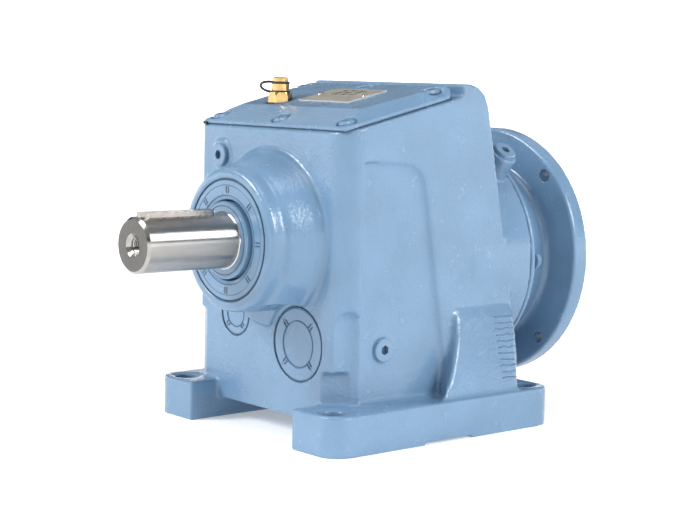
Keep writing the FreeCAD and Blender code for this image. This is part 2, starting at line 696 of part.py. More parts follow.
def make_breather():
    """The breather valve: hexagon body, round neck, cap, rubber rings and its keeper strap."""
    foot = Placement(Vector(dim.breather_x, dim.breather_y, dim.breather_seat), Rotation())
    base = chamfered_hexagon(20, 11)
    base.translate(Vector(0, 0, 1.6))
    thread = Part.makeCylinder(6.9, 12, Vector(0, 0, -12))
    neck = Part.makeCylinder(dim.neck_post, 8, Vector(0, 0, 12.6))
    solid_part("breather_body", thread.fuse([Part.makeCylinder(8, 1.7), base, neck]), foot)
    stem = Part.makeCylinder(5.6, 1.9, Vector(0, 0, 20.7))
    cap = stem.fuse([Part.makeCylinder(7.4, 3.4, Vector(0, 0, 22.6)),
                     Part.makeCone(7.4, 6.2, 1, Vector(0, 0, 26))])
    solid_part("breather_cap", cap, foot)
    lower = Part.makeCylinder(10.8, 1.5).cut(Part.makeCylinder(8.1, 1.5))
    upper = Part.makeCylinder(dim.neck_post, 1.8, Vector(0, 0, 20.7)).cut(
        Part.makeCylinder(5.7, 1.8, Vector(0, 0, 20.7)))
    solid_part("breather_rings", Part.makeCompound([lower, upper]), foot)
    solid_part("breather_strap", strap(14.3, 21.6, 1.5), foot)


def strap(low, high, thickness):
    """The rubber keeper strap: a loop that leaves the upper ring and returns to the neck."""
    near, far = -dim.neck_post - 0.02, -dim.neck_post - 10
    bend = (high - low) / 2
    start, top, bottom = Vector(near, 0, high), Vector(far, 0, high), Vector(far, 0, low)
    path = Part.Wire([
        Part.LineSegment(start, top).toShape(),
        Part.Arc(top, Vector(far - bend, 0, low + bend), bottom).toShape(),
        Part.LineSegment(bottom, Vector(near, 0, low)).toShape()])
    section = Part.Wire([Part.Circle(start, Vector(-1, 0, 0), thickness).toShape()])
    return path.makePipeShell([section], True, True)


# ---------------------------------------------------------------- seals and closing caps


def make_output_seal():
    """The shaft seal: a faced ring with marks on its front and a lip that runs on the shaft."""
    lip = "dim.seal_seat_radius + dim.lip_gap"
    body = turned_part("output_seal", [
        ("dim.boss_face + 0.5", "dim.seal_seat_radius + 6"), ("dim.boss_face + 0.5", "49"),
        ("dim.boss_face + 1.1", "49.6"), ("dim.boss_face + 0.5", "50.2"),
        ("dim.boss_face + 0.5", "dim.seal_radius - 1.2"),
        ("dim.boss_face + 1.7", "dim.seal_radius - dim.running_gap"),
        ("dim.boss_face + dim.seal_width", "dim.seal_radius - dim.running_gap"),
        ("dim.boss_face + dim.seal_width", "dim.seal_radius - 2"),
        ("dim.boss_face + 3.5", "dim.seal_radius - 2"), ("dim.boss_face + 3.5", f"{lip} + 5"),
        ("dim.boss_face + 9", f"{lip} + 1.5"), ("dim.boss_face + 8", lip),
        ("dim.boss_face + 6.5", lip), ("dim.boss_face + 1.5", f"{lip} + 2")],
        "0", "dim.output_z")
    sketch = add_sketch(body, "XZ_Plane", z="-dim.boss_face - 0.5")
    for side in (-1, 1):
        for i in range(8):
            turn_by = 45 * i
            polygon(sketch, [
                (f"{a} * cos({turn_by}) - ({b}) * sin({turn_by})",
                 f"{a} * sin({turn_by}) + ({b}) * cos({turn_by})")
                for a, b in ((43, side * 1.1), (48, side * 1.1), (48, side * 2), (43, side * 2))])
    pocket(body, sketch, "0.4")


def make_closing_cap(label, radius, x, z):
    """A pressed cap over an unused or blind bore, with a raised rim, a ring and four marks."""
    size = f"{radius} - dim.running_gap"
    face = "dim.case_front"
    body = turned_part(label, [
        (f"{face} + 0.8", "0"), (f"{face} + 0.8", f"{radius} * 0.62"),
        (f"{face} + 0.3", f"{radius} * 0.66"), (f"{face} + 0.3", f"{radius} - 2"),
        (f"{face} + 1.1", size), (f"{face} + dim.cap_width", size),
        (f"{face} + dim.cap_width", f"{radius} - 2.5"), (f"{face} + 3", f"{radius} - 2.5"),
        (f"{face} + 3", "0")], x, z)
    marks = add_sketch(body, "XZ_Plane", z=f"-{face} - 0.3")
    for i in range(4):
        turn_by = 45 + 90 * i
        polygon(marks, [
            (f"{a} * {radius} * cos({turn_by}) - ({b}) * sin({turn_by})",
             f"{a} * {radius} * sin({turn_by}) + ({b}) * cos({turn_by})")
            for a, b in ((0.7, -1.2), (0.88, -1.2), (0.88, 1.2), (0.7, 1.2))])
    pocket(body, marks, "0.4")


def make_circlips():
    """Retaining rings: one in the output bore, one on the rear end of each shaft."""
    ring_part("output_bore_circlip", "-143.8", "-141", "51", "56.8", "0", "dim.output_z")
    ring_part("output_shaft_circlip", "18.2", "19.8", "23.6", "28.5", "0", "dim.output_z")
    ring_part("middle_shaft_circlip", "54.1", "55.7", "17.6", "22.5", "dim.middle_x", "dim.middle_z")
    ring_part("input_pinion_circlip", "21.4", "22.9", "13.6", "18.5", "0", "dim.input_z")


# ---------------------------------------------------------------- motor adapter


def make_motor_adapter():
    """The rear casting: spigot and rim on the case, bearing hub, neck and motor flange."""
    body = turned_part("motor_adapter", [
        ("62", "33"), ("62", "dim.hub_radius"), ("117", "dim.hub_radius + 1"), ("124", "58"),
        ("124", "78"), ("117", "82"), ("117", "dim.collar_bore - 0.05"),
        ("dim.adapter_face", "dim.collar_bore - 0.05"), ("dim.adapter_face", "dim.collar_radius"),
        ("dim.rim_back - 3", "dim.collar_radius"), ("dim.rim_back", "dim.collar_radius - 3"),
        ("dim.rim_back", "dim.neck_radius + 2"), ("dim.rim_back + 2", "dim.neck_radius"),
        ("dim.flange_front - 4", "dim.neck_radius"), ("dim.flange_front", "dim.neck_radius + 4"),
        ("dim.flange_front", "dim.flange_radius - 1.5"),
        ("dim.flange_front + 1.5", "dim.flange_radius"),
        ("dim.flange_back - 1", "dim.flange_radius"), ("dim.flange_back", "dim.flange_radius - 1"),
        ("dim.flange_back", "dim.pilot_radius"),
        ("dim.flange_back - dim.pilot_depth", "dim.pilot_radius"),
        ("dim.flange_back - dim.pilot_depth", "dim.neck_bore"), ("134", "dim.neck_bore"),
        ("134", "dim.hub_radius"), ("130", "dim.hub_radius - 3"), ("130", "37.5"),
        ("64", "37.5"), ("64", "33")], "0", "dim.input_z")
    motor = add_sketch(body, "XZ_Plane", z="-dim.flange_back - 1")
    for i in range(4):
        circle(motor, f"dim.flange_bolt_circle / 2 * cos({45 + 90 * i})",
               f"dim.flange_bolt_circle / 2 * sin({45 + 90 * i})", "dim.flange_hole_radius")
    pocket(body, motor, "dim.flange_back - dim.flange_front + 2", reverse=True)
    case = add_sketch(body, "XZ_Plane", z="-dim.rim_back - 1")
    for i in range(6):
        circle(case, f"dim.adapter_bolt_circle / 2 * cos({60 * i})",
               f"dim.adapter_bolt_circle / 2 * sin({60 * i})", "dim.bolt_radius + 0.5")
    pocket(body, case, "dim.rim_back - dim.adapter_face + 3", reverse=True)


def make_adapter_gasket():
    body = new_body("adapter_gasket", "0", "0", "dim.input_z")
    sketch = add_sketch(body, "XZ_Plane", z="-dim.adapter_face")
    circle(sketch, "0", "0", "dim.collar_radius - 0.3")
    circle(sketch, "0", "0", "dim.collar_bore + 0.3")
    for i in range(6):
        circle(sketch, f"dim.adapter_bolt_circle / 2 * cos({60 * i})",
               f"dim.adapter_bolt_circle / 2 * sin({60 * i})", "dim.bolt_radius + 0.5")
    pad(body, sketch, "dim.adapter_face - dim.collar_face")


def make_adapter_screws():
    """Six flange bolts that hold the adapter on the rear collar."""
    bolts = []
    for i in range(6):
        angle = math.radians(60 * i)
        reach = dim.adapter_bolt_circle / 2
        bolt = flange_bolt(20)
        spot = Vector(reach * math.cos(angle), dim.rim_back + 0.02,
                      dim.input_z + reach * math.sin(angle))
        bolt.Placement = Placement(spot, Rotation(Vector(1, 0, 0), -90))
        bolts.append(bolt)
    solid_part("adapter_screws", Part.makeCompound(bolts))


def make_input_seal():
    """The seal behind the input bearings."""
    turned_part("input_seal", [
        ("118.5", "25.1"), ("120", "25.1"), ("123", "28"), ("126", "28"), ("126", "34"),
        ("119.5", "34"), ("119.5", "35.5"), ("128", "35.5"), ("128", "37.48"), ("118.2", "37.48"),
        ("118.2", "28")], "0", "dim.input_z")


# ---------------------------------------------------------------- shafts and keys


def slot_outlines(body, half_width, start, end, height):
    """The two sketches that make a round-ended slot along Y: its straight run and its ends."""
    run, ends = (add_sketch(body, "XY_Plane", z=height) for _ in range(2))
    low, high = f"{start} + ({half_width})", f"{end} - ({half_width})"
    rectangle(run, f"-({half_width})", half_width, low, high)
    circle(ends, "0", low, half_width)
    circle(ends, "0", high, half_width)
    return run, ends


def slot(body, half_width, start, end, face, depth):
    """A round-ended keyway along Y, cut down from a height above the axis of the body."""
    for sketch in slot_outlines(body, half_width, start, end, face):
        pocket(body, sketch, depth)


def key_part(label, half_width, start, end, low, tall, x="0", z="0"):
    """A round-ended parallel key along Y with its foot at the height low above the axis."""
    body = new_body(label, x, "0", z)
    for sketch in slot_outlines(body, half_width, start, end, low):
        pad(body, sketch, tall)


def make_output_shaft():
    """The output shaft: keyed end with a centre thread, seal collar, bearing and gear seats."""
    body = turned_part("output_shaft", [
        ("dim.shaft_tip", "0"), ("dim.shaft_tip", "dim.shaft_radius - dim.shaft_chamfer"),
        ("dim.shaft_tip + dim.shaft_chamfer", "dim.shaft_radius"),
        ("dim.collar_front", "dim.shaft_radius"), ("dim.collar_front", "33.5"),
        ("dim.collar_front + 1.5", "dim.seal_seat_radius"), ("-140", "dim.seal_seat_radius"),
        ("-140", "30"), ("-61", "30"), ("-61", "29"), ("-15", "29"), ("-15", "25"),
        ("18.1", "25"), ("18.1", "23.5"), ("19.9", "23.5"), ("19.9", "25"), ("20.3", "24"),
        ("20.3", "0")], "0", "dim.output_z")
    slot(body, "dim.key_width / 2", "dim.key_start", "dim.key_end", "dim.shaft_radius + 1",
         "dim.key_depth + 1")
    slot(body, "9", "-58", "-18", "30", "8")
    turn(body, "Groove", [
        ("dim.shaft_tip - 1", "0"), ("dim.shaft_tip - 1", "dim.countersink_radius + 1"),
        ("dim.shaft_tip", "dim.countersink_radius"),
        ("dim.shaft_tip + 3.3", "dim.centre_thread_radius"),
        ("dim.shaft_tip + dim.centre_thread_depth", "dim.centre_thread_radius"),
        ("dim.shaft_tip + dim.centre_thread_depth + 4", "0")])
    key_part("output_shaft_key", "dim.key_width / 2 - dim.running_gap",
             "dim.key_start + dim.running_gap", "dim.key_end - dim.running_gap",
             "dim.shaft_radius - dim.key_depth + dim.running_gap", "dim.key_height",
             "0", "dim.output_z")
    key_part("output_gear_key", "8.98", "-57.98", "-18.02", "22.02", "10.5", "0", "dim.output_z")
    ring_part("output_front_spacer", "-117.9", "-61.02", "30.02", "36", "0", "dim.output_z")
    ring_part("output_rear_spacer", "-14.98", "-2.02", "25.02", "29", "0", "dim.output_z")


# ---------------------------------------------------------------- gears


def involute(angle):
    return math.tan(angle) - angle


def tooth_outline(teeth, pitch, base, root, tip, pressure, turn_by):
    """One section of a gear: involute flanks joined by arcs at the tips and roots."""
    half = math.pi / (2 * teeth) - dim.tooth_thinning / (2 * pitch) + involute(pressure)
    low = max(root, base)
    steps = [low + (tip - low) * (i / 6) ** 1.5 for i in range(7)]
    flank = [(radius, half - involute(math.acos(min(1, base / radius)))) for radius in steps]
    if root < base:
        flank.insert(0, (root, flank[0][1]))

    def at(radius, angle):
        return Vector(radius * math.cos(angle), radius * math.sin(angle), 0)

    edges = []
    for i in range(teeth):
        middle = turn_by + math.tau * i / teeth
        for side in (-1, 1):
            points = [at(radius, middle + side * angle) for radius, angle in flank]
            curve = Part.BSplineCurve()
            curve.interpolate(points if side < 0 else points[::-1])
            edges.append(curve.toShape())
            if side < 0:
                ends = at(tip, middle - flank[-1][1]), at(tip, middle), at(tip, middle + flank[-1][1])
            else:
                gap = math.pi / teeth
                ends = (at(root, middle + flank[0][1]), at(root, middle + gap),
                        at(root, middle + 2 * gap - flank[0][1]))
            edges.append(Part.Arc(*ends).toShape())
    return Part.Wire(edges)


def helical_gear(teeth, module, mate_teeth, distance, face, hand, tooth_angle):
    """A helical gear about Z, centred on z = 0, with a tooth at tooth_angle in its middle plane.

    The helix angle is the one that makes the pair's pitch circles fill the centre distance.
    """
    helix = math.acos(module * (teeth + mate_teeth) / (2 * distance))
    pitch = module * teeth / math.cos(helix) / 2
    pressure = math.atan(math.tan(math.radians(20)) / math.cos(helix))
    twist = hand * math.tan(helix) / pitch
    sections = []
    for i in range(5):
        height = face * (i / 4 - 0.5)
        wire = tooth_outline(teeth, pitch, pitch * math.cos(pressure), pitch - 1.25 * module,
                             pitch + module, pressure, tooth_angle + twist * height)
        wire.translate(Vector(0, 0, height))
        sections.append(wire)
    return Part.makeLoft(sections, True, False)


def centre_line(start, end):
    """The distance and the direction, from X towards Z, between two shaft axes."""
    x, z = end[0] - start[0], end[1] - start[1]
    return math.hypot(x, z), math.atan2(z, x)


def bored_gear(gear, face, bore_radius, key_half_width, key_top):
    """A gear with a keyed bore. Its keyway points to +Z of the machine."""
    tall = face + 2
    hole = Part.makeCylinder(bore_radius, tall, Vector(0, 0, -tall / 2))
    keyway = Part.makeBox(2 * key_half_width, key_top, tall, Vector(-key_half_width, 0, -tall / 2))
    return gear.cut(hole.fuse(keyway))


def make_gears():
    output = (0, dim.output_z)
    middle = (dim.middle_x, dim.middle_z)
    motor = (0, dim.input_z)
    distance, line = centre_line(middle, output)
    pinion = helical_gear(dim.middle_pinion_teeth, dim.middle_module, dim.output_teeth, distance,
                          dim.output_gear_face + 4, 1, line)
    gear = helical_gear(dim.output_teeth, dim.middle_module, dim.middle_pinion_teeth, distance,
                        dim.output_gear_face, -1, line + math.pi + math.pi / dim.output_teeth)
    solid_part("output_gear", bored_gear(gear, dim.output_gear_face, 29.02, 9, 32.6),
               placed_gear(output, dim.output_gear_y))
    make_middle_shaft(pinion, middle)
    distance, line = centre_line(motor, middle)
    pinion = helical_gear(dim.input_pinion_teeth, dim.input_module, dim.middle_teeth, distance,
                          dim.input_gear_face + 2, 1, line)
    gear = helical_gear(dim.middle_teeth, dim.input_module, dim.input_pinion_teeth, distance,
                        dim.input_gear_face, -1, line + math.pi + math.pi / dim.middle_teeth)
    solid_part("middle_gear", bored_gear(gear, dim.input_gear_face, 19.02, 5, 22.4),
               placed_gear(middle, dim.input_gear_y))
    solid_part("input_pinion", bored_gear(pinion, dim.input_gear_face + 2, 15.02, 4, 18.4),
               placed_gear(motor, dim.input_gear_y))


def placed_gear(axis, y):
    place = along_y(*axis)
    place.Base.y = y
    return place


def make_middle_shaft(teeth, axis):
    """The middle shaft, in one piece with its pinion."""
    half = (dim.output_gear_face + 4) / 2
    centre = -dim.output_gear_y

    def journal(radius, front, back):
        return Part.makeCylinder(radius, back - front, Vector(0, 0, -back - centre))

    shape = teeth.fuse([
        journal(20, -98.8, -84), journal(23, -84, dim.output_gear_y - half),
        journal(23, dim.output_gear_y + half, 0), journal(20, 0, 15), journal(19, 15, 54),
        journal(17.5, 54, 55.8), journal(19, 55.8, 58)])
    keyway = Part.makeBox(10, 6, 26, Vector(-5, 14, -52 - centre))
    solid_part("middle_pinion_shaft", shape.cut(keyway), placed_gear(axis, dim.output_gear_y))
    key = Part.makeBox(9.96, 8, 25.96, Vector(-4.98, 14.02, -51.98 - centre))
    solid_part("middle_gear_key", key, placed_gear(axis, dim.output_gear_y))
    ring_part("middle_shaft_spacer", "15.02", "23.9", "19.02", "24", "dim.middle_x", "dim.middle_z")


def make_input_shaft():
    """The hollow input shaft: a keyed bore for the motor shaft, and the pinion seat in front."""
    body = turned_part("input_shaft", [
        ("20.8", "0"), ("20.8", "14.5"), ("21.3", "15"), ("21.3", "13.5"), ("23", "13.5"),
        ("23", "15"), ("57", "15"), ("57", "26"), ("66", "26"), ("66", "22.5"), ("116", "22.5"),
        ("116", "25"), ("128", "25"), ("131", "30"), ("182", "30"), ("183", "29"), ("183", "14"),
        ("126", "14"), ("122", "0")], "0", "dim.input_z")
    way = add_sketch(body, "XZ_Plane", z="-184")
    rectangle(way, "-4", "4", "0", "17.3")
    pocket(body, way, "57", reverse=True)
    slot(body, "4", "28", "52", "16", "5")
    key_part("input_pinion_key", "3.98", "28.02", "51.98", "11.02", "7", "0", "dim.input_z")
    ring_part("input_bearing_spacer", "82.1", "99.9", "22.52", "26", "0", "dim.input_z")


# ---------------------------------------------------------------- bearings


def bearing_shapes(bore_radius, outer_radius, width, count):
    """The outer ring, inner ring and balls of a deep groove ball bearing about Z, from z = 0."""
    pitch = (bore_radius + outer_radius) / 2
    ball = 0.3 * (outer_radius - bore_radius)
    middle = Vector(0, 0, width / 2)
    outer = Part.makeCylinder(outer_radius - dim.running_gap, width).cut(
        Part.makeCylinder(pitch + 0.55 * ball, width))
    inner = Part.makeCylinder(pitch - 0.55 * ball, width).cut(
        Part.makeCylinder(bore_radius + dim.running_gap, width))
    groove = Part.makeTorus(pitch, ball + dim.ball_gap, middle)
    balls = []
    for i in range(count):
        angle = math.tau * i / count
        spot = middle + Vector(pitch * math.cos(angle), pitch * math.sin(angle), 0)
        balls.append(Part.makeSphere(ball, spot))
    return outer.cut(groove), inner.cut(groove), Part.makeCompound(balls)


def make_bearings(label, axis, fronts, bore_radius, outer_radius, width, count):
    """The bearings of one size on one shaft, whose front faces lie at fronts."""
    plural = "s" if len(fronts) > 1 else ""
    groups = {f"{label}_outer_ring{plural}": [], f"{label}_inner_ring{plural}": [],
              f"{label}_balls": []}
    for front in fronts:
        shapes = bearing_shapes(bore_radius, outer_radius, width, count)
        for group, shape in zip(groups.values(), shapes):
            place = along_y(*axis)
            place.Base.y = front + width
            group.append(shape.transformed(place.Matrix))
    for name, shapes in groups.items():
        solid_part(name, Part.makeCompound(shapes) if len(shapes) > 1 else shapes[0])


def make_all_bearings():
    output, middle = (0, dim.output_z), (dim.middle_x, dim.middle_z)
    make_bearings("output_front_bearing", output, (-139.9,), 30, 55, 22, 10)
    make_bearings("output_rear_bearing", output, (-2,), 25, 45, 20, 10)
    make_bearings("middle_bearing", middle, (-99, 0), 20, 34, 15, 12)
    make_bearings("input_bearing", (0, dim.input_z), (66.1, 100), 22.5, 37.5, 16, 12)


# ---------------------------------------------------------------- name plate


def make_nameplate():
    """A blank metal plate on the cover, held by two rivets."""
    body = tilted_body("nameplate")
    sketch = add_sketch(body, "XY_Plane", z="dim.cover_height")
    rectangle(sketch, "dim.plate_x - dim.plate_half_width", "dim.plate_x + dim.plate_half_width",
              "dim.plate_start", "dim.plate_start + dim.plate_length")
    for side in (-1, 1):
        circle(sketch, f"dim.plate_x + {side} * dim.rivet_x",
               "dim.plate_start + dim.plate_length / 2", "2.1")
    pad(body, sketch, "0.8")
    rim = Placement(Vector(0, dim.case_front, dim.rim_height), Rotation(Vector(1, 0, 0), dim.tilt))
    rivets = []
    for side in (-1, 1):
        spot = Vector(dim.plate_x + side * dim.rivet_x, dim.plate_start + dim.plate_length / 2, 0)
        dome = Part.makeSphere(3.4, Vector(0, 0, -1.6)).common(
            Part.makeBox(8, 8, 3, Vector(-4, -4, 0)))
        rivet = dome.fuse(Part.makeCylinder(2, 1, Vector(0, 0, -0.8)))
        rivet.translate(spot + Vector(0, 0, dim.cover_height + 0.82))
        rivets.append(rivet)
    solid_part("nameplate_rivets", Part.makeCompound(rivets), rim)


# ---------------------------------------------------------------- run


def write_parts():
    os.makedirs("parts", exist_ok=True)
    doc.recompute()
    for thing in doc.Objects:
        if {"Invalid", "Error"} & set(thing.State):
            raise RuntimeError(f"{thing.Label} is {thing.State}")
    for piece in parts:
        if piece.Shape.isNull() or not piece.Shape.isValid():
            raise RuntimeError(f"{piece.Label} has no valid shape")
        piece.Shape.exportStep(f"parts/{piece.Label}.step")


make_housing()
make_top_cover()
make_cover_gasket()
make_cover_bolts()
make_plugs()
make_breather()
make_nameplate()
make_output_seal()
make_closing_cap("large_closing_cap", "dim.large_cap_radius", "dim.middle_x", "dim.middle_z")
make_closing_cap("small_closing_cap", "dim.small_cap_radius", "dim.spare_x", "dim.spare_z")
make_circlips()
make_motor_adapter()
make_adapter_gasket()
make_adapter_screws()
make_input_seal()
make_output_shaft()
make_gears()
make_input_shaft()
make_all_bearings()
write_parts()
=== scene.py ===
import json
import math

import bmesh
import bpy
from mathutils import Matrix, Vector, noise
from mathutils.bvhtree import BVHTree


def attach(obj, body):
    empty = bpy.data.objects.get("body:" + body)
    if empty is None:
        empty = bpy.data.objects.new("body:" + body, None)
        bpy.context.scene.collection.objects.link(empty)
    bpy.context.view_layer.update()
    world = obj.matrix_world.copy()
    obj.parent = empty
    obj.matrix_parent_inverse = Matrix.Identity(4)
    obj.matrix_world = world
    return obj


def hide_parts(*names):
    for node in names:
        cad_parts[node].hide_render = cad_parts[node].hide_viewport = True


# The looks of a painted inline helical gear unit: cast surfaces, bright shaft, brass breather, blank plate.
# Frame: metres, +Z up, the output shaft points along -Y, the feet stand on z = 0.

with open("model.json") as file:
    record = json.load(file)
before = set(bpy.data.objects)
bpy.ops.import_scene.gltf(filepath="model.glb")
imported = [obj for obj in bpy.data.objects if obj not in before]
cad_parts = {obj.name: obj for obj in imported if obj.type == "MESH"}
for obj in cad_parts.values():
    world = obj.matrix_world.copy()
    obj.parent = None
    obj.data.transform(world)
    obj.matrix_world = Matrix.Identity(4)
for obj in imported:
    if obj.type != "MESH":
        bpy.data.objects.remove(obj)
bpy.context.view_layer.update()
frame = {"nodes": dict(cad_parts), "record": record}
nodes = frame["nodes"]

CASE = "gear_case"
OUTPUT = "output_shaft_assembly"
OUTPUT_Z = 0.180
INPUT_Z = 0.155
CASE_FRONT = -0.108
RIM_HEIGHT = 0.280
TILT = math.radians(13)
BOSS_FACE = -0.157
SHAFT_TIP = -0.257
SHAFT_RADIUS = 0.025
COLLAR_FACE = -0.1605
THREAD_RADIUS = 0.0069
THREAD_PITCH = 0.002
SEAL_FACE = BOSS_FACE + 0.0005
CAP_FACE = CASE_FRONT
LARGE_CAP = (0.044, 0.087, 0.034)
SMALL_CAP = (-0.0494, 0.1044, 0.021)
FLANGE_BACK = 0.190
FLANGE_FRONT = 0.1718
FLANGE_HOLE = 0.0054
FLANGE_HOLE_CIRCLE = 0.114
BREATHER = Vector((-0.050, -0.058, 0.2995))
SCREW_X = 0.092
SCREW_ROWS = ((0.013, 0.0043), (0.118, 0.0088))
SIDE_PLUG = (-0.058, 0.0857)
SIDE_PLUG_X = 0.103
FRONT_PLUG = Vector((-0.073, CASE_FRONT - 0.0015, 0.2525))
LUG_ANGLE = math.radians(52)
LUG_Y = 0.113
LUG_REACH = 0.132
PLATE_X = 0.009
PLATE_TOP = 0.01335


# ---------------------------------------------------------------- node helpers


class Shader:
    """A small builder for one node material."""

    def __init__(self, name):
        self.material = bpy.data.materials.new(name)
        self.material.use_nodes = True
        self.tree = self.material.node_tree
        self.tree.nodes.clear()
        self.bsdf = self.add("ShaderNodeBsdfPrincipled")
        out = self.add("ShaderNodeOutputMaterial")
        self.link(self.bsdf.outputs[0], out.inputs["Surface"])
        self.where = self.add("ShaderNodeTexCoord").outputs["Object"]

    def add(self, kind, **values):
        node = self.tree.nodes.new(kind)
        for key, value in values.items():
            setattr(node, key, value)
        return node

    def link(self, source, target):
        self.tree.links.new(source, target)

    def put(self, **values):
        """Constants of the Principled shader, by socket name with _ for a space."""
        for key, value in values.items():
            self.bsdf.inputs[key.replace("_", " ")].default_value = value

    def noise(self, scale, detail=2.0, roughness=0.5, where=None):
        node = self.add("ShaderNodeTexNoise")
        node.inputs["Scale"].default_value = scale
        node.inputs["Detail"].default_value = detail
        node.inputs["Roughness"].default_value = roughness
        self.link(where or self.where, node.inputs["Vector"])
        return node.outputs["Fac"]

    def remap(self, value, low, high, to_low, to_high):
        node = self.add("ShaderNodeMapRange")
        for key, number in (("From Min", low), ("From Max", high), ("To Min", to_low), ("To Max", to_high)):
            node.inputs[key].default_value = number
        self.link(value, node.inputs["Value"])
        return node.outputs["Result"]

    def mix(self, factor, first, second):
        """A mix of two colours, each a tuple or a socket."""
        node = self.add("ShaderNodeMix", data_type="RGBA")
        self.link(factor, node.inputs["Factor"])
        for key, colour in ((6, first), (7, second)):
            if isinstance(colour, tuple):
                node.inputs[key].default_value = (*colour, 1)
            else:
                self.link(colour, node.inputs[key])
        return node.outputs[2]

    def bump(self, heights):
        """Stack bumps from (height socket, strength, distance) rows into the shader's normal."""
        normal = None
        for height, strength, distance in heights:
            node = self.add("ShaderNodeBump")
            node.inputs["Strength"].default_value = strength
            node.inputs["Distance"].default_value = distance
            self.link(height, node.inputs["Height"])
            if normal:
                self.link(normal, node.inputs["Normal"])
            normal = node.outputs["Normal"]
        self.link(normal, self.bsdf.inputs["Normal"])


def cast_paint(name, blue, grain):
    """Glossy enamel on cast iron: orange peel, soft casting unevenness and cloudy colour."""
    s = Shader(name)
    cloud = s.noise(18, 3)
    dark = tuple(c * 0.93 for c in blue)
    pale = tuple(c * 1.05 for c in blue)
    base = s.mix(s.remap(cloud, 0.35, 0.65, 0, 1), dark, pale)
    speck = s.remap(s.noise(900, 1), 0.70, 0.78, 0, 1)
    s.link(s.mix(speck, base, tuple(min(1, c * 1.18) for c in blue)), s.bsdf.inputs["Base Color"])
    s.link(s.remap(s.noise(60, 2), 0.3, 0.7, 0.18, 0.28), s.bsdf.inputs["Roughness"])
    s.put(Specular_IOR_Level=0.5, Coat_Weight=0.25, Coat_Roughness=0.12)
    s.bump([(s.noise(34, 2), 0.16, 0.002), (s.noise(330, 2, 0.5), grain, 0.0011)])
    return s.material


def groove_shade(name, shade):
    """Dirt and shadow in a narrow groove of the paint."""
    s = Shader(name)
    s.link(s.mix(s.remap(s.noise(300, 3), 0.3, 0.7, 0, 1), shade, tuple(c * 1.9 for c in shade)),
           s.bsdf.inputs["Base Color"])
    s.link(s.remap(s.noise(500, 2), 0.3, 0.7, 0.45, 0.65), s.bsdf.inputs["Roughness"])
    s.bump([(s.noise(900, 2), 0.2, 0.0002)])
    return s.material


def turned_steel(name, tint, rough, grooves):
    """Bare turned steel: fine rings along Y, faint stains and varying gloss."""
    s = Shader(name)
    stretch = s.add("ShaderNodeMapping")
    stretch.inputs["Scale"].default_value = (6, 1, 6)
    s.link(s.where, stretch.inputs["Vector"])
    cloud = s.noise(30, 3, where=stretch.outputs["Vector"])
    s.link(s.mix(s.remap(cloud, 0.3, 0.7, 0, 1), tuple(c * 0.86 for c in tint), tint),
           s.bsdf.inputs["Base Color"])
    s.link(s.remap(s.noise(160, 2, where=stretch.outputs["Vector"]), 0.3, 0.7, rough * 0.75, rough * 1.3),
           s.bsdf.inputs["Roughness"])
    s.put(Metallic=1.0)
    ring = s.add("ShaderNodeTexWave", wave_type="BANDS", bands_direction="Y")
    ring.inputs["Scale"].default_value = 620
    ring.inputs["Distortion"].default_value = 1.5
    ring.inputs["Detail"].default_value = 2
    s.link(s.where, ring.inputs["Vector"])
    s.bump([(ring.outputs["Fac"], grooves, 0.0001), (s.noise(25, 1), 0.1, 0.0006)])
    return s.material


def plain_metal(name, tint, rough):
    """Ground or plated metal with fine scratches and uneven gloss."""
    s = Shader(name)
    cloud = s.noise(120, 4)
    s.link(s.mix(s.remap(cloud, 0.3, 0.7, 0, 1), tuple(c * 0.8 for c in tint), tint),
           s.bsdf.inputs["Base Color"])
    s.link(s.remap(s.noise(300, 2), 0.3, 0.7, rough * 0.7, rough * 1.4), s.bsdf.inputs["Roughness"])
    s.put(Metallic=1.0)
    s.bump([(s.noise(1500, 2), 0.12, 0.0001)])
    return s.material


def brushed_plate(name):
    """The blank name plate: silver sheet with fine straight brushing and faint stains."""
    s = Shader(name)
    stretch = s.add("ShaderNodeMapping")
    stretch.inputs["Scale"].default_value = (1, 28, 28)
    s.link(s.where, stretch.inputs["Vector"])
    lines = s.noise(110, 3, where=stretch.outputs["Vector"])
    s.link(s.mix(s.remap(lines, 0.3, 0.7, 0, 1), (0.55, 0.52, 0.45), (0.74, 0.71, 0.63)),
           s.bsdf.inputs["Base Color"])
    s.link(s.remap(s.noise(90, 3), 0.3, 0.7, 0.3, 0.48), s.bsdf.inputs["Roughness"])
    s.put(Metallic=0.85)
    s.bump([(lines, 0.25, 0.00015)])
    return s.material


def rubber(name, shade):
    """Dull black rubber with a fine grain."""
    s = Shader(name)
    s.link(s.mix(s.remap(s.noise(200, 3), 0.3, 0.7, 0, 1), (shade,) * 3, (shade * 2.2,) * 3),
           s.bsdf.inputs["Base Color"])
    s.link(s.remap(s.noise(400, 2), 0.3, 0.7, 0.5, 0.72), s.bsdf.inputs["Roughness"])
    s.bump([(s.noise(1400, 2), 0.2, 0.0002)])
    return s.material


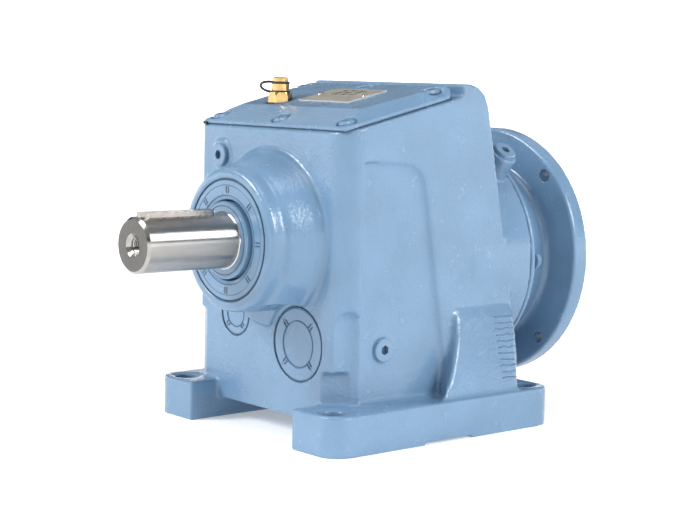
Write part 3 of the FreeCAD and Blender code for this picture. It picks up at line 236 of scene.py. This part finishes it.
BLUE = (0.140, 0.248, 0.382)
MATERIALS = {
    "paint": cast_paint("blue_enamel", BLUE, 0.5),
    "fine_paint": cast_paint("blue_enamel_fine", BLUE, 0.16),
    # groove and line: painted shade for narrow gaps, grooves and recesses; the groove one is partly also
    # dirt in the joints.
    "groove": groove_shade("groove_shade", (0.022, 0.045, 0.075)),
    "line": groove_shade("line_shade", (0.055, 0.105, 0.175)),
    "steel": turned_steel("turned_steel", (0.45, 0.435, 0.415), 0.16, 0.5),
    # The shaft's end face: the same turned steel with coarser rings and more roughness, its colour darkened
    # as painted shade.
    "end_face_shade": turned_steel("end_face_steel_painted_shade", (0.15, 0.145, 0.14), 0.3, 0.9),
    "gear": turned_steel("gear_steel", (0.55, 0.55, 0.56), 0.34, 0.3),
    "key": plain_metal("ground_steel", (0.46, 0.43, 0.40), 0.28),
    "ball": plain_metal("polished_steel", (0.72, 0.72, 0.73), 0.12),
    "brass": plain_metal("brass", (0.62, 0.42, 0.18), 0.14),
    "black": plain_metal("blackened_steel", (0.12, 0.12, 0.13), 0.4),
    "plate": brushed_plate("plate_metal"),
    "rubber": rubber("black_rubber", 0.012),
}


# ---------------------------------------------------------------- mesh helpers


def dress(obj, material):
    obj.data.materials.clear()
    obj.data.materials.append(MATERIALS[material])


def smooth_shade(obj, degrees=35):
    """Smooth shading that keeps edges sharper than the angle."""
    mesh = obj.data
    mesh.polygons.foreach_set("use_smooth", [True] * len(mesh.polygons))
    mesh.set_sharp_from_angle(angle=math.radians(degrees))


def add_object(name, mesh, material, body):
    obj = bpy.data.objects.new(name, mesh)
    bpy.context.scene.collection.objects.link(obj)
    dress(obj, material)
    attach(obj, body)
    return obj


def baked_copy(name, node, modifiers):
    """A new object from a CAD node's mesh with modifiers applied. Each is (type, settings)."""
    source = bpy.data.objects.new(name, nodes[node].data.copy())
    bpy.context.scene.collection.objects.link(source)
    for kind, settings in modifiers:
        modifier = source.modifiers.new(kind, kind)
        for key, value in settings.items():
            setattr(modifier, key, value)
    mesh = bpy.data.meshes.new_from_object(source.evaluated_get(bpy.context.evaluated_depsgraph_get()))
    source.modifiers.clear()
    source.data = mesh
    return source


def soften_panels(obj, voxel):
    """Melt the steps round the shallow side panels into wide soft slopes."""
    group = obj.vertex_groups.new(name="panel_edges")
    chosen = [v.index for v in obj.data.vertices
              if abs(v.co.x) > 0.099 and -0.070 < v.co.y < 0.036 and 0.048 < v.co.z < 0.262
              and math.hypot(v.co.y - SIDE_PLUG[0], v.co.z - SIDE_PLUG[1]) > 0.019]
    group.add(chosen, 1.0, "REPLACE")
    soft = obj.modifiers.new("soften", "SMOOTH")
    soft.factor = 0.5
    soft.iterations = round(9 * (0.003 / voxel) ** 2)
    soft.vertex_group = group.name
    mesh = bpy.data.meshes.new_from_object(obj.evaluated_get(bpy.context.evaluated_depsgraph_get()))
    obj.modifiers.clear()
    obj.data = mesh
    obj.vertex_groups.clear()


def cast_piece(name, node, voxel, rounds):
    """A cast copy of a CAD node: its edges melt softly, its flat faces stay where they are."""
    obj = baked_copy(name, node, [
        ("WELD", {"merge_threshold": 0.00002}),
        ("REMESH", {"mode": "VOXEL", "voxel_size": voxel}),
        ("SMOOTH", {"factor": 0.5, "iterations": rounds}),
    ])
    if node == "housing":
        soften_panels(obj, voxel)
    obj.data.polygons.foreach_set("use_smooth", [True] * len(obj.data.polygons))
    dress(obj, "paint")
    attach(obj, CASE)
    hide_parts(node)


def mesh_object(name, build, material, body, smooth=True):
    """An object whose mesh is made by build(bm), riding a body."""
    bm = bmesh.new()
    build(bm)
    bmesh.ops.recalc_face_normals(bm, faces=bm.faces)
    mesh = bpy.data.meshes.new(name)
    bm.to_mesh(mesh)
    bm.free()
    obj = add_object(name, mesh, material, body)
    if smooth:
        smooth_shade(obj)
    return obj


def tube(bm, points, radius, closed=False, sides=8):
    """Sweep a round section along points; ends are capped unless the path is closed."""
    count = len(points)
    rings, side = [], None
    for i, point in enumerate(points):
        before = points[i - 1] if i or closed else point
        after = points[(i + 1) % count] if i < count - 1 or closed else point
        along = (after - before).normalized()
        side = along.orthogonal() if side is None else side - along * side.dot(along)
        side.normalize()
        up = along.cross(side)
        rings.append([bm.verts.new(point + (side * math.cos(a) + up * math.sin(a)) * radius)
                      for a in (2 * math.pi * k / sides for k in range(sides))])
    for i in range(count if closed else count - 1):
        first, second = rings[i], rings[(i + 1) % count]
        for k in range(sides):
            bm.faces.new((first[k], first[(k + 1) % sides], second[(k + 1) % sides], second[k]))
    if not closed:
        bm.faces.new(rings[0])
        bm.faces.new(rings[-1])


def round_path(x, y, z, radius, steps=96):
    """Points of a circle about an axis along Y."""
    turns = (2 * math.pi * i / steps for i in range(steps))
    return [Vector((x + radius * math.cos(a), y, z + radius * math.sin(a))) for a in turns]


def box(bm, centre, half, turned):
    """A box given by its centre and half sizes, turned about its centre."""
    matrix = Matrix.Translation(centre) @ turned @ Matrix.Diagonal((*half, 1))
    bmesh.ops.create_cube(bm, size=2, matrix=matrix)


def radial_bars(bm, x, y, z, angles, inner, outer, offsets, half_width):
    """Short radial bars on a face that looks along -Y."""
    for angle in angles:
        turned = Matrix.Rotation(-angle, 4, "Y")
        for offset in offsets:
            centre = Vector((x, y, z)) + turned @ Vector(((inner + outer) / 2, 0, offset))
            box(bm, centre, ((outer - inner) / 2, 0.0003, half_width), turned)


def on_slope(x, up_slope, height):
    """A point in the frame of the sloping rim."""
    return Vector((x, CASE_FRONT + up_slope * math.cos(TILT) - height * math.sin(TILT),
                   RIM_HEIGHT + up_slope * math.sin(TILT) + height * math.cos(TILT)))


# ---------------------------------------------------------------- pieces


def dress_cad_nodes():
    """Give every CAD node its material; the cast pieces are replaced later."""
    by_slot = {
        "case_paint": "fine_paint", "machined_steel": "steel", "plated_steel": "ball",
        "black_steel": "black", "gear_steel": "gear", "rubber": "rubber", "gasket": "rubber",
        "brass": "brass", "plate": "plate",
    }
    for part in frame["record"]["subparts"]:
        node = part["node"]
        dress(nodes[node], by_slot[part["material_slot"]])
    dress(nodes["output_shaft_key"], "key")
    dress(nodes["nameplate_rivets"], "key")
    dress(nodes["adapter_gasket"], "fine_paint")
    # The lid gasket takes the groove colour: partly the gasket's own dark edge, partly painted shade in the
    # joint under the lid.
    dress(nodes["cover_gasket"], "groove")


def make_castings():
    voxel = 0.0015
    cast_piece("gear_case_casting", "housing", voxel, 6)
    cast_piece("lid_casting", "top_cover", voxel * 0.6, 5)
    cast_piece("adapter_casting", "motor_adapter", voxel, 5)


def make_shaft():
    """The output shaft: bare turned steel, its collar painted over, its end face darkened as painted shade.
    """
    shaft = baked_copy("output_shaft_finish", "output_shaft", [])
    for key in ("steel", "fine_paint", "end_face_shade"):
        shaft.data.materials.append(MATERIALS[key])
    shaft.data.materials.pop(index=0)
    for face in shaft.data.polygons:
        out = math.hypot(face.center.x, face.center.z - OUTPUT_Z)
        if face.center.y > COLLAR_FACE - 0.0002 and out > SHAFT_RADIUS + 0.0005:
            face.material_index = 1
        # The end face gets the darkened steel: painted shade.
        elif face.center.y < SHAFT_TIP + 0.0002:
            face.material_index = 2
    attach(shaft, OUTPUT)
    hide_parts("output_shaft")


def centre_thread(bm, turns=15, steps=40):
    """The thread in the shaft's centre hole: one ridge wound on a helix."""
    rows = []
    for i in range(turns * steps + 1):
        angle = 2 * math.pi * i / steps
        start = SHAFT_TIP + 0.0045 + THREAD_PITCH * i / steps
        rows.append([bm.verts.new((r * math.cos(angle), start + y, OUTPUT_Z + r * math.sin(angle)))
                     for r, y in ((THREAD_RADIUS + 0.0002, -0.0009), (THREAD_RADIUS - 0.0011, 0),
                                  (THREAD_RADIUS + 0.0002, 0.0009))])
    for first, second in zip(rows, rows[1:]):
        for k in range(3):
            bm.faces.new((first[k], first[(k + 1) % 3], second[(k + 1) % 3], second[k]))
    bm.faces.new(rows[0])
    bm.faces.new(rows[-1])


def make_shaft_details():
    mesh_object("centre_thread", centre_thread, "steel", OUTPUT)
    mesh_object("shaft_root_fillet", lambda bm: tube(
        bm, round_path(0, COLLAR_FACE, OUTPUT_Z, SHAFT_RADIUS + 0.0003), 0.0010, True),
        "ball", OUTPUT)
    # Painted shade: a dark ring for the shadow in the groove on the collar's face.
    mesh_object("collar_groove_shade", lambda bm: tube(
        bm, round_path(0, COLLAR_FACE, OUTPUT_Z, 0.0312), 0.0004, True), "groove", OUTPUT)


def make_grooves():
    """Painted shade: dark lines in the gaps round the seal, the closing caps and the lid screws, partly
    also the real dark joints; fainter painted shade in the grooves of the seal and cap faces; dark bars for
    the shadows of the small marks on them.
    """
    # Painted shade, partly also the real dark joints: dark rings in the gaps round the seal and the caps.
    for name, (x, z, radius), y in (
            ("seal_outline", (0, OUTPUT_Z, 0.0552), BOSS_FACE + 0.0003),
            ("large_cap_outline", LARGE_CAP, CAP_FACE), ("small_cap_outline", SMALL_CAP, CAP_FACE)):
        mesh_object(name, lambda bm: tube(
            bm, round_path(x, y, z, radius), 0.00048, True), "groove", CASE)
    # Fainter painted shade in the grooves of the seal face and the cap faces.
    mesh_object("seal_inner_groove_shade", lambda bm: tube(
        bm, round_path(0, SEAL_FACE, OUTPUT_Z, 0.0405), 0.00045, True), "line", CASE)
    for name, (x, z, radius) in (("large_cap_ring_shade", LARGE_CAP), ("small_cap_ring_shade", SMALL_CAP)):
        mesh_object(name, lambda bm: tube(
            bm, round_path(x, CAP_FACE + 0.0002, z, radius * 0.62), 0.0004, True), "line", CASE)
    # Painted shadow in the pockets round the lid screws.
    ring = 0.0086
    for i in (-1, 0, 1):
        for row, height in SCREW_ROWS:
            path = [on_slope(SCREW_X * i + ring * math.cos(a), row + ring * math.sin(a), height)
                    for a in (2 * math.pi * k / 48 for k in range(48))]
            mesh_object(f"screw_shadow_{i + 2}_{round(row * 1000)}",
                        lambda bm: tube(bm, path, 0.0006, True), "groove", CASE)
    mesh_object("gasket_corner", lambda bm: tube(
        bm, [on_slope(-0.1030, 0.0005, 0.0018), on_slope(-0.0985, 0.0006, 0.0014)], 0.0016), "rubber", CASE)
    # Painted shade: dark bars for the shadows of the small marks on the seal and caps.
    seal_angles = [math.radians(90 + 45 * i) for i in range(8)]
    mesh_object("seal_mark_shade", lambda bm: radial_bars(
        bm, 0, SEAL_FACE, OUTPUT_Z, seal_angles, 0.0425, 0.0485, (-0.0015, 0.0015), 0.00055),
        "groove", CASE)
    corners = [math.radians(45 + 90 * i) for i in range(4)]
    for name, (x, z, radius) in (("large_cap_mark_shade", LARGE_CAP), ("small_cap_mark_shade", SMALL_CAP)):
        mesh_object(name, lambda bm: radial_bars(
            bm, x, CAP_FACE + 0.0001, z, corners, radius * 0.62, radius * 0.8, (-0.0018, 0.0018), 0.0005),
            "groove", CASE)


def make_flange_hole_liners():
    """Bare drilled metal inside the four holes of the motor flange."""
    for i in range(4):
        angle = math.radians(45 + 90 * i)
        x = FLANGE_HOLE_CIRCLE * math.cos(angle)
        z = INPUT_Z + FLANGE_HOLE_CIRCLE * math.sin(angle)

        def liner(bm):
            steps = 32
            front, back, outer = FLANGE_FRONT + 0.0002, FLANGE_BACK - 0.0002, FLANGE_HOLE + 0.001
            rows = [[bm.verts.new(p) for p in round_path(x, y, z, r, steps)]
                    for y, r in ((front, FLANGE_HOLE), (back, FLANGE_HOLE), (back, outer), (front, outer))]
            for first, second in zip(rows, rows[1:] + rows[:1]):
                for k in range(steps):
                    after = (k + 1) % steps
                    bm.faces.new((first[k], first[after], second[after], second[k]))
        mesh_object(f"flange_hole_liner_{i + 1}", liner, "ball", CASE)


def make_cast_lines():
    """Eleven wavy raised lines low on the rear of the right side, laid on the cast surface and coloured
    darker than the paint as painted shade along the ridges.
    """
    casting = bpy.data.objects["gear_case_casting"]
    tree = BVHTree.FromObject(casting, bpy.context.evaluated_depsgraph_get())

    lowest, row_step, front, step = 0.050, 0.0056, 0.0745, 0.0018
    wave_height, droop, middle = 0.0014, 0.03, 0.085

    def lines(bm):
        for row in range(11):
            points = []
            for i in range(15):
                y = front + step * i
                wave = noise.noise(Vector((row * 3.1, i * 0.35, 0.5)))
                z = lowest + row_step * row + wave_height * wave - droop * (y - middle)
                hit = tree.ray_cast(Vector((0.2, y, z)), Vector((-1, 0, 0)))[0]
                points.append(Vector((hit.x, y, z)))
            tube(bm, points, 0.00055, sides=6)
    mesh_object("cast_lines", lines, "line", CASE)


def make_breather_strap():
    """The rubber keeper strap: from the cap out in a loop and back to the neck."""
    top, bottom = BREATHER.z + 0.0222, BREATHER.z + 0.0128
    middle, near, far, rise, steps = (top + bottom) / 2, 0.0070, 0.0195, 0.0012, 32
    out = Vector((-0.80, -0.60, 0))
    points = []
    for i in range(steps + 1):
        a = math.radians(90 + 180 * i / steps)
        bulge = abs(math.cos(a))
        points.append(Vector((BREATHER.x, BREATHER.y, middle))
                      + out * (near + (far - near) * bulge ** 0.75)
                      + Vector((0, 0, (top - bottom) / 2 * math.sin(a) + rise * bulge)))
    strap = mesh_object("keeper_strap", lambda bm: tube(bm, points, 0.0013), "rubber", CASE)
    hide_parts("breather_strap")


def make_breather_rings():
    """Black rings where the breather's pieces meet, and the shadow line of its seat."""
    for name, radius, height, width, material in (
            ("cap_joint_ring", 0.0080, 0.0216, 0.0012, "rubber"),
            ("neck_joint_ring", 0.0086, 0.0132, 0.0011, "rubber"),
            ("base_joint_ring", 0.0109, 0.0016, 0.0014, "rubber"),
            ("seat_shadow_ring", 0.0132, 0.0006, 0.0009, "groove")):
        path = [BREATHER + Vector((radius * math.cos(a), radius * math.sin(a), height))
                for a in (2 * math.pi * k / 64 for k in range(64))]
        mesh_object(name, lambda bm: tube(bm, path, width, True), material, CASE)


def make_plate_fields():
    """Blank fields of the name plate: three rows of three small panels on its rear half."""
    half_sizes = (0.0050, 0.0020, 0.00012)

    def fields(bm):
        for up_slope in (0.0835, 0.0905, 0.0975):
            for x in (-0.012, 0.0, 0.012):
                centre = on_slope(PLATE_X + x, up_slope, PLATE_TOP)
                box(bm, centre, half_sizes, Matrix.Rotation(TILT, 4, "X"))
    mesh_object("plate_blank_fields", fields, "key", CASE, smooth=False)


def make_socket_shadows():
    """Painted shade: dark discs at the bottoms of the plugs' sockets, where shadow falls."""
    outward = Vector((math.cos(LUG_ANGLE), 0, math.sin(LUG_ANGLE)))
    places = ((FRONT_PLUG, Vector((0, -1, 0))),
              (Vector((SIDE_PLUG_X, *SIDE_PLUG)), Vector((1, 0, 0))),
              (Vector((-SIDE_PLUG_X, *SIDE_PLUG)), Vector((-1, 0, 0))),
              (Vector((0, LUG_Y, INPUT_Z)) + outward * LUG_REACH, outward))
    for i, (foot, axis) in enumerate(places):
        mesh_object(f"socket_shade_{i + 1}", lambda bm: tube(
            bm, [foot - axis * 0.0019, foot + axis * 0.0008], 0.0046, sides=6), "groove", CASE)


# ---------------------------------------------------------------- stage


def look_from(camera, target, azimuth, elevation, roll, distance):
    a, e, r = map(math.radians, (azimuth, elevation, roll))
    back = Vector((math.sin(a) * math.cos(e), -math.cos(a) * math.cos(e), math.sin(e)))
    right = Vector((math.cos(a), math.sin(a), 0))
    up = back.cross(right)
    turned_right = right * math.cos(r) + up * math.sin(r)
    turned_up = up * math.cos(r) - right * math.sin(r)
    matrix = Matrix((turned_right, turned_up, back)).transposed().to_4x4()
    matrix.translation = target + back * distance
    camera.matrix_world = matrix


def add_camera():
    data = bpy.data.cameras.new("camera")
    data.lens = 86.73
    data.sensor_width = 36
    data.clip_end = 50
    camera = bpy.data.objects.new("camera", data)
    bpy.context.scene.collection.objects.link(camera)
    look_from(camera, Vector((0.06385, -0.0645, 0.1619)), 49.0, 6.38, 1.32, 1.5295)
    bpy.context.scene.camera = camera


def add_sun(name, azimuth, elevation, spread, strength):
    """A broad soft light from far away. Azimuth 0 comes from -Y and 90 from +X."""
    data = bpy.data.lights.new(name, "SUN")
    data.angle = math.radians(spread)
    data.energy = strength
    lamp = bpy.data.objects.new(name, data)
    bpy.context.scene.collection.objects.link(lamp)
    a, e = math.radians(azimuth), math.radians(elevation)
    toward = Vector((math.sin(a) * math.cos(e), -math.cos(a) * math.cos(e), math.sin(e)))
    lamp.rotation_mode = "QUATERNION"
    lamp.rotation_quaternion = (-toward).to_track_quat("-Z", "Y")


def stage_mesh(name, build, colour, glow):
    bm = bmesh.new()
    build(bm)
    mesh = bpy.data.meshes.new(name)
    bm.to_mesh(mesh)
    bm.free()
    obj = bpy.data.objects.new(name, mesh)
    bpy.context.scene.collection.objects.link(obj)
    s = Shader(name + "_white")
    s.link(s.mix(s.noise(3), colour, tuple(c * 1.02 for c in colour)), s.bsdf.inputs["Base Color"])
    s.put(Roughness=0.9, Emission_Strength=glow, Emission_Color=(1, 1, 1, 1))
    obj.data.materials.append(s.material)


def add_world():
    """A sky in soft bright and dark bands by height, so that the bare shaft has streaks."""
    world = bpy.data.worlds.new("studio")
    world.use_nodes = True
    tree = world.node_tree
    split = tree.nodes.new("ShaderNodeSeparateXYZ")
    ramp = tree.nodes.new("ShaderNodeValToRGB")
    tree.links.new(tree.nodes.new("ShaderNodeTexCoord").outputs["Generated"], split.inputs[0])
    tree.links.new(split.outputs["Z"], ramp.inputs["Fac"])
    tree.links.new(ramp.outputs["Color"], tree.nodes["Background"].inputs["Color"])
    bands = ((0.0, 0.9), (0.16, 0.9), (0.22, 0.05), (0.40, 0.12),
             (0.47, 0.95), (0.68, 0.8), (0.74, 0.3), (1.0, 0.6))
    while len(ramp.color_ramp.elements) < len(bands):
        ramp.color_ramp.elements.new(0.5)
    for stop, (place, shade) in zip(ramp.color_ramp.elements, bands):
        stop.position = place
        stop.color = (shade * 0.97, shade * 0.985, shade, 1)
    tree.nodes["Background"].inputs["Strength"].default_value = 0.62
    bpy.context.scene.world = world


def add_stage():
    """A pale floor with a far white wall round it, and three soft suns."""
    stage_mesh("floor", lambda bm: bmesh.ops.create_circle(
        bm, cap_ends=True, segments=64, radius=20), (0.90, 0.90, 0.90), 0.3)
    stage_mesh("far_wall", lambda bm: bmesh.ops.create_cone(
        bm, segments=64, radius1=19.5, radius2=19.5, depth=6), (0.90, 0.90, 0.90), 0.9)
    add_sun("left_sun", -28, 34, 24, 2.65)
    add_sun("right_sun", 108, 30, 26, 2.15)
    add_sun("top_sun", 60, 78, 30, 0.6)
    bpy.context.scene.view_settings.view_transform = "Standard"


dress_cad_nodes()
make_castings()
make_shaft()
make_shaft_details()
make_grooves()
make_flange_hole_liners()
make_cast_lines()
make_breather_strap()
make_breather_rings()
make_plate_fields()
make_socket_shadows()
add_camera()
add_stage()
add_world()
